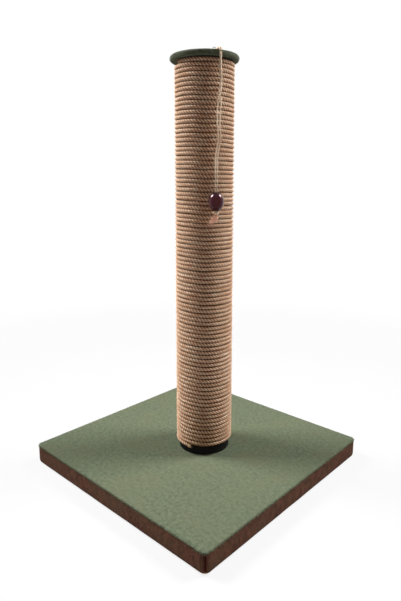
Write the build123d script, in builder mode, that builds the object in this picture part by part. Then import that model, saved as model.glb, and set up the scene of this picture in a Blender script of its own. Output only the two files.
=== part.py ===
from build123d import *
import os
from math import acos, cos, pi, radians, sin, sqrt, tan

# A rope-wound cat scratching post on a square padded base, with a fabric-covered disc on top
# and a bead toy on twine that hangs over the disc's edge. Millimetres, +Z up. The origin is the
# middle of the base's underside, and the base's sides run along X and Y.

os.makedirs("parts", exist_ok=True)

# Base
base_side = 350.0
corner_radius = 8.0
board_thick = 25.0
cover_thick = 2.0
cover_edge_bevel = 1.0
band_thick = 1.5
band_edge_bevel = 2.0
band_seam_gap = 0.6
hem_width = 18.0
hem_thick = 1.2
lining_thick = 0.8
lining_gap = 1.0
pad_thick = 2.2
pad_side = 28.0
pad_inset = 40.0

# Staples of the band's hem
staple_crown = 10.0
staple_wire = 0.6
staple_width = 1.0
staple_leg = 6.0
staples_per_side = 4
staple_spacing = 80.0

# The post's place on the base: the photographed post stands a little off the middle
post_x = 9.0
post_y = 4.0

# Screw joint between the post and the base
bolt_dia = 8.0
bolt_length = 50.0
bolt_clearance = 0.5
bolt_head_flats = 13.0
bolt_head_thick = 4.7
bolt_flange_dia = 24.0
bolt_flange_thick = 1.6
counterbore_dia = 30.0
counterbore_depth = 8.0
nut_thick = 6.5
thread_clearance = 0.1
nut_pocket_clearance = 0.1

# Tube and its lower end cap
tube_bore = 65.0
tube_wall = 3.2
cap_rim_dia = 75.0
cap_rim_thick = 12.0
cap_fit = 0.1
cap_skirt_depth = 24.0
cap_wall = 3.0
cap_boss_dia = 22.0
cap_boss_height = 16.0
cap_ribs = 4
cap_rib_thick = 2.0

# Rope: one length wound from the foot to the disc
rope_thick = 5.5
rope_sides = 5
rope_pitch = 6.0
rope_turns = 90
shaped_turns = 4
wrap_gap = 0.3
rope_start_angle = -92.0
sleeve_inset = 0.1
sleeve_lead = 0.5
step_slack = 0.1
step_lap = 1.0
gap_points_per_turn = 24

# Plug and screw at the top
plug_thick = 20.0
plug_fit = 0.1
screw_length = 20.0
screw_dia = 5.0
screw_head_dia = 10.0
screw_head_thick = 2.2
screw_clearance = 0.2

# Disc and its cover
disc_core_dia = 91.0
disc_core_thick = 5.0
disc_fabric = 2.0
disc_overlap = 0.5
disc_cover_bevel = 2.5
disc_hem_opening = 56.0

# Toy: its place round the post, its twine, knots and bead
toy_angle = -23.5
twine_thick = 3.2
strand_thick = 1.9
twine_sides = 5
twine_lay_clearance = 0.3
toy_side = 1.0
anchor_inset = 19.0
anchor_staple_inset = 14.0
anchor_staple_crown = 9.0
anchor_staple_wire = 1.0
anchor_staple_leg = 8.0
bend_start_inset = 2.5
bend_gap = 0.1
pivot_clearance = 0.3
swing_end_rise = 1.2
swing_end_taper = 30.0
bead_dia = 21.0
bead_height = 23.5
bead_end_dia = 9.0
bead_strand_spacing = 3.0
bead_bore_clearance = 0.3
bead_post_clearance = 0.3
bead_side = -6.0
bead_bottom = 389.5
bead_facets = 5
bead_rest_gap = 0.2
knot_side = -1.0
knot_top = 535.0
knot_height = 6.5
knot_dia = 7.6
stop_dia = 8.6
stop_height = 5.2
knot_sides = 8
knot_fit = 0.12
knot_bevel = 1.0
cord_run_share = 0.45
tuft_top_width = 2.2
tuft_end_width = 4.6
tuft_top_spread = 2.5
left_tuft_side = -14.5
left_tuft_bottom = 371.0
right_tuft_side = -8.5
right_tuft_bottom = 371.8

# Corners of the twine's route: out from its bend, to the side and up; then side and up
upper_corners = ((0.1, -0.3, 578.0), (0.3, 1.8, 562.0), (0.6, 0.2, 547.5))
left_corners = ((-5.4, 507.0), (-2.0, 484.0), (-6.6, 466.5))
right_corners = ((-1.6, 505.0), (1.2, 484.0), (-3.9, 465.5))
straight_top = 450.0
strand_start_spread = 4.8

# Heights
lining_bottom = pad_thick
board_bottom = lining_bottom + lining_thick
hem_bottom = board_bottom - hem_thick
board_top = board_bottom + board_thick
base_top = board_top + cover_thick
tube_bottom = base_top + cap_rim_thick
rope_height = (rope_turns + 1) * rope_pitch
tube_top = tube_bottom + rope_height
core_bottom = tube_top + disc_fabric
core_top = core_bottom + disc_core_thick
disc_top = core_top + disc_fabric
bolt_seat = board_bottom + counterbore_depth
nut_bottom = tube_bottom + cap_boss_height - nut_thick - nut_pocket_clearance

# Radii and sides
board_side = base_side - 2 * band_thick
board_corner = corner_radius - band_thick
hem_opening = base_side - 2 * hem_width
hole_radius = bolt_dia / 2 + bolt_clearance
tube_radius = tube_bore / 2 + tube_wall
wind_radius = tube_radius + wrap_gap + rope_thick / 2
rope_outside = wind_radius + rope_thick / 2
disc_radius = disc_core_dia / 2 + disc_fabric + disc_overlap

foot_plane = Plane(origin=(post_x, post_y, base_top))


def post_plane(height):
    """A level plane on the post's axis."""
    return foot_plane.offset(height - base_top)


# Base panel, with the bolt hole counterbored from below
with BuildPart() as base_board:
    with BuildSketch(Plane.XY.offset(board_bottom)):
        RectangleRounded(board_side, board_side, board_corner)
    extrude(amount=board_thick)
    with Locations(Plane(origin=(post_x, post_y, board_bottom), z_dir=(0, 0, -1))):
        CounterBoreHole(hole_radius, counterbore_dia / 2, counterbore_depth)
base_board.part.label = "base_board"
export_step(base_board.part, "parts/base_board.step")

# Plush sheet over the panel and over the band's top edge
with BuildPart() as top_cover:
    with BuildSketch(Plane.XY.offset(board_top)):
        RectangleRounded(base_side, base_side, corner_radius)
        with Locations((post_x, post_y)):
            Circle(hole_radius, mode=Mode.SUBTRACT)
    extrude(amount=cover_thick)
    cover_rim = top_cover.faces().sort_by(Axis.Z)[-1].outer_wire()
    chamfer(cover_rim.edges(), cover_edge_bevel)
top_cover.part.label = "top_cover"
export_step(top_cover.part, "parts/top_cover.step")

# Felt band round the sides, turned under as a hem, with its two ends meeting at one corner
with BuildPart() as edge_band:
    with BuildSketch(Plane.XY.offset(hem_bottom)):
        RectangleRounded(base_side, base_side, corner_radius)
    extrude(amount=board_top - hem_bottom)
    band_rim = edge_band.faces().sort_by(Axis.Z)[0].outer_wire()
    chamfer(band_rim.edges(), band_edge_bevel)
    with BuildSketch(Plane.XY.offset(board_bottom)):
        RectangleRounded(board_side, board_side, board_corner)
    extrude(amount=board_thick, mode=Mode.SUBTRACT)
    with BuildSketch(Plane.XY.offset(hem_bottom)):
        Rectangle(hem_opening, hem_opening)
    extrude(amount=hem_thick, mode=Mode.SUBTRACT)
    with BuildSketch(Plane.XY.offset(hem_bottom)):
        with Locations(Location((base_side / 2, -base_side / 2), -45)):
            Rectangle(4 * hem_width, band_seam_gap)
    extrude(amount=board_top - hem_bottom, mode=Mode.SUBTRACT)
edge_band.part.label = "edge_band"
export_step(edge_band.part, "parts/edge_band.step")

# Lining that closes the underside inside the hem, open round the bolt
with BuildPart() as underside_lining:
    with BuildSketch(Plane.XY.offset(lining_bottom)):
        Rectangle(hem_opening - 2 * lining_gap, hem_opening - 2 * lining_gap)
        with Locations((post_x, post_y)):
            Circle(counterbore_dia / 2 + lining_gap, mode=Mode.SUBTRACT)
    extrude(amount=lining_thick)
underside_lining.part.label = "underside_lining"
export_step(underside_lining.part, "parts/underside_lining.step")

# Staples along the hem, driven up into the panel
staple_planes = []
for side in range(4):
    for place in range(staples_per_side):
        along = (place - (staples_per_side - 1) / 2) * staple_spacing
        staple_planes.append(
            Plane(
                origin=Vector(along, hem_width / 2 - base_side / 2, hem_bottom).rotate(Axis.Z, 90 * side),
                x_dir=Vector(1, 0, 0).rotate(Axis.Z, 90 * side),
                z_dir=Vector(0, -1, 0).rotate(Axis.Z, 90 * side),
            )
        )
with BuildPart() as hem_staples:
    with BuildSketch(*staple_planes):
        with Locations((0, -staple_wire)):
            Rectangle(staple_crown, staple_wire + staple_leg, align=(Align.CENTER, Align.MIN))
        Rectangle(
            staple_crown - 2 * staple_wire,
            staple_leg,
            align=(Align.CENTER, Align.MIN),
            mode=Mode.SUBTRACT,
        )
    extrude(amount=staple_width / 2, both=True)
hem_staples.part.label = "hem_staples"
export_step(hem_staples.part, "parts/hem_staples.step")

# Four pads that the post stands on
with BuildPart() as anti_slip_pads:
    with BuildSketch(Plane.XY):
        with GridLocations(base_side - 2 * pad_inset, base_side - 2 * pad_inset, 2, 2):
            Rectangle(pad_side, pad_side)
    extrude(amount=pad_thick)
anti_slip_pads.part.label = "anti_slip_pads"
export_step(anti_slip_pads.part, "parts/anti_slip_pads.step")

# Flanged hexagon bolt from below, and the nut held in the end cap
with BuildPart() as post_bolt:
    with BuildSketch(post_plane(bolt_seat - bolt_flange_thick)):
        RegularPolygon(bolt_head_flats / 2, 6, major_radius=False)
    extrude(amount=-bolt_head_thick)
    with BuildSketch(post_plane(bolt_seat)):
        Circle(bolt_flange_dia / 2)
    extrude(amount=-bolt_flange_thick)
    with BuildSketch(post_plane(bolt_seat)):
        Circle(bolt_dia / 2)
    extrude(amount=bolt_length)
post_bolt.part.label = "post_bolt"
export_step(post_bolt.part, "parts/post_bolt.step")

with BuildPart() as cap_nut:
    with BuildSketch(post_plane(nut_bottom)):
        RegularPolygon(bolt_head_flats / 2, 6, major_radius=False)
        Circle(bolt_dia / 2 + thread_clearance, mode=Mode.SUBTRACT)
    extrude(amount=nut_thick)
cap_nut.part.label = "cap_nut"
export_step(cap_nut.part, "parts/cap_nut.step")

# Plastic end cap: a rim that shows under the rope, a skirt inside the tube, ribs and a nut pocket
skirt_radius = tube_bore / 2 - cap_fit
rib_reach = skirt_radius - cap_wall / 2 - cap_boss_dia / 4
with BuildPart() as lower_end_cap:
    with BuildSketch(post_plane(base_top)):
        Circle(cap_rim_dia / 2)
    extrude(amount=cap_rim_thick)
    with BuildSketch(post_plane(tube_bottom)):
        Circle(skirt_radius)
        Circle(skirt_radius - cap_wall, mode=Mode.SUBTRACT)
    extrude(amount=cap_skirt_depth)
    with BuildSketch(post_plane(tube_bottom)):
        Circle(cap_boss_dia / 2)
        with PolarLocations((skirt_radius - cap_wall / 2 + cap_boss_dia / 4) / 2, cap_ribs):
            Rectangle(rib_reach, cap_rib_thick)
    extrude(amount=cap_boss_height)
    with BuildSketch(post_plane(nut_bottom)):
        RegularPolygon(bolt_head_flats / 2 + nut_pocket_clearance, 6, major_radius=False)
    extrude(amount=nut_thick + nut_pocket_clearance, mode=Mode.SUBTRACT)
    with BuildSketch(post_plane(base_top)):
        Circle(hole_radius)
    extrude(amount=nut_bottom - base_top, mode=Mode.SUBTRACT)
lower_end_cap.part.label = "lower_end_cap"
export_step(lower_end_cap.part, "parts/lower_end_cap.step")

# Cardboard tube
with BuildPart() as post_tube:
    with BuildSketch(post_plane(tube_bottom)):
        Circle(tube_radius)
        Circle(tube_bore / 2, mode=Mode.SUBTRACT)
    extrude(amount=rope_height)
post_tube.part.label = "post_tube"
export_step(post_tube.part, "parts/post_tube.step")


def rope_angle(turn):
    """Angle round the post, in radians, after so many turns: the rope climbs clockwise."""
    return radians(rope_start_angle - 360 * turn)


def rope_point(turn):
    """Point of the rope's centre line after so many turns from its lower end."""
    angle = rope_angle(turn)
    height = tube_bottom + (turn + 0.5) * rope_pitch
    return Vector(post_x + wind_radius * cos(angle), post_y + wind_radius * sin(angle), height)


def rope_direction(turn):
    """Direction of the climbing rope at that point."""
    angle = rope_angle(turn)
    round_post = 2 * pi * wind_radius
    return Vector(round_post * sin(angle), -round_post * cos(angle), rope_pitch).normalized()


def lay_turns(first, last):
    """Lays the centre line from one turn to another, each quarter turn as two arcs that meet."""
    for quarter in range(4 * first, 4 * last):
        start = rope_point(quarter / 4)
        finish = rope_point((quarter + 1) / 4)
        leaving = rope_direction(quarter / 4)
        arriving = rope_direction((quarter + 1) / 4)
        chord = finish - start
        along = chord.dot(leaving + arriving)
        spread = 2 * (1 - leaving.dot(arriving))
        reach = (sqrt(along**2 + spread * chord.dot(chord)) - along) / spread
        first_corner = start + leaving * reach
        last_corner = finish - arriving * reach
        joint = (first_corner + last_corner) * 0.5
        TangentArc(start, joint, tangent=leaving)
        TangentArc(joint, finish, tangent=last_corner - first_corner)


def rope_section_plane(turn, origin):
    """Plane across the rope, with its X direction out from the post."""
    angle = rope_angle(turn)
    return Plane(origin=origin, x_dir=Vector(cos(angle), sin(angle), 0), z_dir=rope_direction(turn))


def least_turn_gap(first, last):
    """Least gap between a wound stretch's own turns, measured on points of its centre line."""
    count = round((last - first) * gap_points_per_turn)
    points = [rope_point(first + step / gap_points_per_turn) for step in range(count + 1)]
    least = min(
        (points[low] - points[high]).length
        for low in range(len(points))
        for high in range(low + gap_points_per_turn // 2, len(points))
    )
    return least - rope_thick


# The rope is one piece: its first and last turns are shaped, and the turns between them are a plain
# sleeve. Each end of the sleeve climbs with the winding and leaves a step that the rope runs into.
# The upper half is the lower half turned end over end, so the two ends of the rope match
sleeve_low = tube_bottom + shaped_turns * rope_pitch + sleeve_lead
sleeve_middle = tube_bottom + rope_height / 2
step_height = rope_pitch - step_slack
rope_foot = rope_point(0) - rope_direction(0) * rope_thick
rope_into_sleeve = rope_point(shaped_turns) + rope_direction(shaped_turns) * step_lap
turning_axis = Axis((post_x, post_y, sleeve_middle), (cos(rope_angle(0)), sin(rope_angle(0)), 0))
with BuildPart() as rope:
    with BuildSketch(post_plane(sleeve_low)):
        Circle(rope_outside - sleeve_inset)
        Circle(tube_radius + wrap_gap + sleeve_inset, mode=Mode.SUBTRACT)
    extrude(amount=sleeve_middle - sleeve_low)
    with BuildLine() as step_path:
        lay_turns(shaped_turns, shaped_turns + 1)
    with BuildSketch(rope_section_plane(shaped_turns, rope_point(shaped_turns))):
        with Locations((0, -rope_thick / 2)):
            Rectangle(2 * rope_thick, step_height, align=(Align.CENTER, Align.MAX))
    sweep(path=step_path.wire(), mode=Mode.SUBTRACT)
    with BuildLine() as rope_path:
        Line(rope_foot, rope_point(0))
        lay_turns(0, shaped_turns)
        Line(rope_point(shaped_turns), rope_into_sleeve)
    with BuildSketch(rope_section_plane(0, rope_foot)):
        RegularPolygon(rope_thick / 2, rope_sides)
    sweep(path=rope_path.wire())
    add(rope.part.rotate(turning_axis, 180))
rope.part.label = "rope"
export_step(rope.part, "parts/rope.step")
print("least gap between the rope's turns, mm:", round(least_turn_gap(0, shaped_turns), 3))


# Wooden plug in the tube's top end, with the hole that the disc's screw fills
plug_bottom = tube_top - plug_thick
with BuildPart() as upper_plug:
    with BuildSketch(post_plane(plug_bottom)):
        Circle(tube_bore / 2 - plug_fit)
    extrude(amount=plug_thick)
    with Locations(post_plane(tube_top)):
        Hole(screw_dia / 2, depth=screw_length - disc_core_thick - disc_fabric)
upper_plug.part.label = "upper_plug"
export_step(upper_plug.part, "parts/upper_plug.step")

# Flat-headed screw down through the disc
with BuildPart() as disc_screw:
    with BuildSketch(post_plane(core_top)):
        Circle(screw_head_dia / 2)
    extrude(amount=-screw_head_thick)
    with BuildSketch(post_plane(core_top)):
        Circle(screw_dia / 2)
    extrude(amount=-screw_length)
disc_screw.part.label = "disc_screw"
export_step(disc_screw.part, "parts/disc_screw.step")

# Hard disc, with a recess for its screw's head
with BuildPart() as top_disc:
    with BuildSketch(post_plane(core_bottom)):
        Circle(disc_core_dia / 2)
    extrude(amount=disc_core_thick)
    with Locations(post_plane(core_top)):
        CounterBoreHole(
            screw_dia / 2 + screw_clearance, screw_head_dia / 2 + screw_clearance, screw_head_thick
        )
top_disc.part.label = "top_disc"
export_step(top_disc.part, "parts/top_disc.step")

# Fabric round the disc, turned under and gathered to a round opening
with BuildPart() as disc_cover:
    with BuildSketch(post_plane(tube_top)):
        Circle(disc_radius)
    extrude(amount=disc_top - tube_top)
    chamfer(disc_cover.faces().sort_by(Axis.Z)[-1].edges(), disc_cover_bevel)
    with BuildSketch(post_plane(core_bottom)):
        Circle(disc_core_dia / 2)
    extrude(amount=disc_core_thick, mode=Mode.SUBTRACT)
    with BuildSketch(post_plane(tube_top)):
        Circle(disc_hem_opening / 2)
    extrude(amount=disc_fabric, mode=Mode.SUBTRACT)
disc_cover.part.label = "disc_cover"
export_step(disc_cover.part, "parts/disc_cover.step")


def toy_point(out, side, height):
    """Point near the toy: out from the post's axis, to its side, and up from the floor."""
    angle = radians(toy_angle)
    return Vector(
        post_x + out * cos(angle) - side * sin(angle),
        post_y + out * sin(angle) + side * cos(angle),
        height,
    )


toy_outward = toy_point(1, 0, 0) - toy_point(0, 0, 0)
toy_sideways = toy_point(0, 1, 0) - toy_point(0, 0, 0)


def level_plane(out, side, height):
    """Level plane at a point near the toy, with X away from the post."""
    return Plane(origin=toy_point(out, side, height), x_dir=toy_outward, z_dir=(0, 0, 1))


def upright_plane(out, side, height):
    """Upright plane at a point near the toy, with X away from the post and Y up."""
    return Plane(origin=toy_point(out, side, height), x_dir=toy_outward, z_dir=-toy_sideways)


def corner_radii(points):
    """Radius at each corner of a cord's route, as large as its two runs allow."""
    radii = []
    for before, corner, after in zip(points, points[1:], points[2:]):
        half_turn = radians((corner - before).get_angle(after - corner)) / 2
        shorter = min((corner - before).length, (after - corner).length)
        radii.append(cord_run_share * shorter / tan(half_turn))
    return radii


def lay_cord(name, points, thickness):
    """Adds a cord along straight runs and tangent arcs, and prints the arcs' radii."""
    radii = corner_radii(points)
    with BuildLine() as route:
        FilletPolyline(*points, radius=radii)
    with BuildSketch(Plane(origin=points[0], z_dir=points[1] - points[0])) as section:
        RegularPolygon(thickness / 2, twine_sides)
    cord = sweep(section.sketch, path=route.wire())
    share = cord.volume / (section.sketch.area * route.wire().length)
    print(name, "length", round(route.wire().length, 1), "radii", [round(radius, 1) for radius in radii])
    print(name, "volume over section times length", round(share, 4))


def tie_knot(out, side, bottom, dia, height):
    """Adds a knot as a short eight-sided body with bevelled ends."""
    with BuildSketch(level_plane(out, side, bottom)) as outline:
        RegularPolygon(dia / 2, knot_sides)
    extrude(outline.sketch, amount=height)
    chamfer(edges(Select.LAST).filter_by(Axis.Z, reverse=True), knot_bevel)


# Twine: it lies on the disc's top under a staple, turns down over the edge, and hangs
twine_height = disc_top + twine_lay_clearance + twine_thick / 2
anchor_out = disc_radius - anchor_inset
anchor_staple_out = disc_radius - anchor_staple_inset
bend_out = disc_radius - bend_start_inset
bend_height = disc_top - bend_start_inset
bend_radius = twine_height - bend_height
twine_out = bend_out + bend_radius
pivot_height = bend_height - pivot_clearance - twine_thick / 2

with BuildPart() as twine_over_disc:
    anchor_end = toy_point(anchor_out, toy_side, twine_height)
    with BuildSketch(Plane(origin=anchor_end, x_dir=toy_sideways, z_dir=toy_outward)):
        RegularPolygon(twine_thick / 2, twine_sides)
    extrude(amount=bend_out - bend_gap - anchor_out)
twine_over_disc.part.label = "twine_over_disc"
export_step(twine_over_disc.part, "parts/twine_over_disc.step")

with BuildPart() as twine_staple:
    crown = toy_point(anchor_staple_out, toy_side, twine_height + twine_thick / 2 + anchor_staple_wire)
    with BuildSketch(Plane(origin=crown, x_dir=toy_sideways, z_dir=toy_outward)):
        Rectangle(anchor_staple_crown, anchor_staple_leg, align=(Align.CENTER, Align.MAX))
        with Locations((0, -anchor_staple_wire)):
            Rectangle(
                anchor_staple_crown - 2 * anchor_staple_wire,
                anchor_staple_leg,
                align=(Align.CENTER, Align.MAX),
                mode=Mode.SUBTRACT,
            )
    extrude(amount=anchor_staple_wire / 2, both=True)
twine_staple.part.label = "twine_staple"
export_step(twine_staple.part, "parts/twine_staple.step")

with BuildPart() as twine_bend:
    with BuildLine(upright_plane(bend_out, toy_side, bend_height)) as bend_path:
        CenterArc((0, 0), bend_radius, 0, 90)
    with BuildSketch(level_plane(twine_out, toy_side, bend_height)):
        RegularPolygon(twine_thick / 2, twine_sides)
    sweep(path=bend_path.wire())
twine_bend.part.label = "twine_bend"
export_step(twine_bend.part, "parts/twine_bend.step")

# The bead's place, with the two strands side by side through its bore
bead_out = rope_outside + bead_post_clearance + bead_dia / 2
bead_middle = bead_bottom + bead_height / 2
bead_end_angle = acos(bead_end_dia / bead_dia)
bore_dia = bead_strand_spacing + strand_thick + 2 * bead_bore_clearance
stop_top = bead_bottom - bead_rest_gap
stop_bottom = stop_top - stop_height
knot_bottom = knot_top - knot_height
knot_out = twine_out + (bead_out - twine_out) * (pivot_height - knot_top) / (pivot_height - straight_top)
left_side = bead_side - bead_strand_spacing / 2
right_side = bead_side + bead_strand_spacing / 2

# Upper stretch of the two strands together, from the ball that it swings on to the knot
upper_route = [
    toy_point(twine_out, toy_side, pivot_height),
    *[toy_point(twine_out + out, side, height) for out, side, height in upper_corners],
    toy_point(knot_out, knot_side, knot_top + knot_fit),
]
with BuildPart() as twine_upper:
    lay_cord("twine_upper", upper_route, twine_thick)
    with BuildSketch(level_plane(twine_out, toy_side, pivot_height)):
        RegularPolygon(twine_thick / 2, twine_sides)
    extrude(amount=swing_end_rise, taper=swing_end_taper)
twine_upper.part.label = "twine_upper"
export_step(twine_upper.part, "parts/twine_upper.step")

with BuildPart() as upper_knot:
    tie_knot(knot_out, knot_side, knot_bottom, knot_dia, knot_height)
upper_knot.part.label = "upper_knot"
export_step(upper_knot.part, "parts/upper_knot.step")


def strand_route(start_side, corners, bead_strand_side):
    """Route of one strand from the knot, by its corners, to the straight stretch in the bead."""
    places = [(start_side, knot_bottom), *corners, (bead_strand_side, straight_top)]
    lean = (bead_out - knot_out) / (knot_bottom - straight_top)
    route = [toy_point(knot_out + lean * (knot_bottom - up), side, up) for side, up in places]
    return [*route, toy_point(bead_out, bead_strand_side, stop_top)]


with BuildPart() as twine_left:
    left_start = knot_side - strand_start_spread / 2
    lay_cord("twine_left", strand_route(left_start, left_corners, left_side), strand_thick)
twine_left.part.label = "twine_left"
export_step(twine_left.part, "parts/twine_left.step")

with BuildPart() as twine_right:
    right_start = knot_side + strand_start_spread / 2
    lay_cord("twine_right", strand_route(right_start, right_corners, right_side), strand_thick)
twine_right.part.label = "twine_right"
export_step(twine_right.part, "parts/twine_right.step")

# Glossy bead, an egg shape cut off at both ends, bored for the strands
bead_outline = [(bore_dia / 2, bead_bottom), (bore_dia / 2, bead_bottom + bead_height)]
for step in range(bead_facets + 1):
    angle = bead_end_angle * (1 - 2 * step / bead_facets)
    height = bead_middle + bead_height / 2 * sin(angle) / sin(bead_end_angle)
    bead_outline.append((bead_dia / 2 * cos(angle), height))
with BuildPart() as bead:
    with BuildSketch(upright_plane(bead_out, bead_side, 0)):
        Polygon(*bead_outline, align=None)
    revolve(axis=Axis(toy_point(bead_out, bead_side, 0), (0, 0, 1)))
bead.part.label = "bead"
export_step(bead.part, "parts/bead.step")

# Knot that stops the bead
with BuildPart() as lower_knot:
    tie_knot(bead_out, bead_side, stop_bottom, stop_dia, stop_height)
lower_knot.part.label = "lower_knot"
export_step(lower_knot.part, "parts/lower_knot.step")


def fray(top_side, end_side, end_height):
    """Adds a flat frayed end that leans and widens down from the lower knot."""
    with BuildSketch(Plane(origin=toy_point(bead_out, 0, 0), x_dir=toy_sideways, z_dir=toy_outward)) as fan:
        Polygon(
            (top_side - tuft_top_width / 2, stop_bottom),
            (top_side + tuft_top_width / 2, stop_bottom),
            (end_side + tuft_end_width / 2, end_height),
            (end_side - tuft_end_width / 2, end_height),
            align=None,
        )
    extrude(fan.sketch, amount=tuft_top_width / 2, both=True)


with BuildPart() as frayed_end_left:
    fray(bead_side - tuft_top_spread / 2, left_tuft_side, left_tuft_bottom)
frayed_end_left.part.label = "frayed_end_left"
export_step(frayed_end_left.part, "parts/frayed_end_left.step")

with BuildPart() as frayed_end_right:
    fray(bead_side + tuft_top_spread / 2, right_tuft_side, right_tuft_bottom)
frayed_end_right.part.label = "frayed_end_right"
export_step(frayed_end_right.part, "parts/frayed_end_right.step")
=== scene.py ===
"""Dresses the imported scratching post: its padded base, wound rope, covered disc and bead toy."""

import logging
import math
from dataclasses import dataclass
from enum import Enum

import bpy
import numpy as np
from mathutils import Matrix, Vector, noise


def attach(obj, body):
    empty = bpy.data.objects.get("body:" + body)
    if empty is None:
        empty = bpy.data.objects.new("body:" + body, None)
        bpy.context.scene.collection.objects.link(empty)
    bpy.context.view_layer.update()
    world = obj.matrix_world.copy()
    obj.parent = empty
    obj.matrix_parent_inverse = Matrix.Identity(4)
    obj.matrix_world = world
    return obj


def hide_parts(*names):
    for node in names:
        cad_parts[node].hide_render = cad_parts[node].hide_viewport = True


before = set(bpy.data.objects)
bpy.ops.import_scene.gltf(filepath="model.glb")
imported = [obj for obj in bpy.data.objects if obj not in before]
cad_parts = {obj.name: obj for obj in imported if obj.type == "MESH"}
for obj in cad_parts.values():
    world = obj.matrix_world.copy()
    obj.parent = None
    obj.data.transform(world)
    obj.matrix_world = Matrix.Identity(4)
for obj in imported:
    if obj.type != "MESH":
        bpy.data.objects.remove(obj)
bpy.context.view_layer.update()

Colour = tuple[float, float, float]
Point = tuple[float, float, float]

POST_AXIS = (0.009, 0.004)
UPWARD = np.array([0.0, 0.0, 1.0])

log = logging.getLogger("scratching_post")


class Body(Enum):
    """CAD bodies that the pieces ride on."""

    POST = "post"
    BEND = "bend"
    TOY = "toy"
    BEAD = "toy_bead"


class Lay(Enum):
    """Which way the plies of a rope or twine wind about its line."""

    RIGHT = 1.0
    LEFT = -1.0


def linear(colour: Colour, alpha: float = 1.0) -> tuple[float, float, float, float]:
    """Turns a screen colour into the linear one that the shaders take.

    Args:
        colour: red, green and blue from 0 to 255.
        alpha: opacity.

    Returns:
        The linear colour with its opacity.
    """
    channels = []
    for value in colour:
        share = value / 255
        channels.append(share / 12.92 if share <= 0.04045 else ((share + 0.055) / 1.055) ** 2.4)
    return (channels[0], channels[1], channels[2], alpha)


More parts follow.
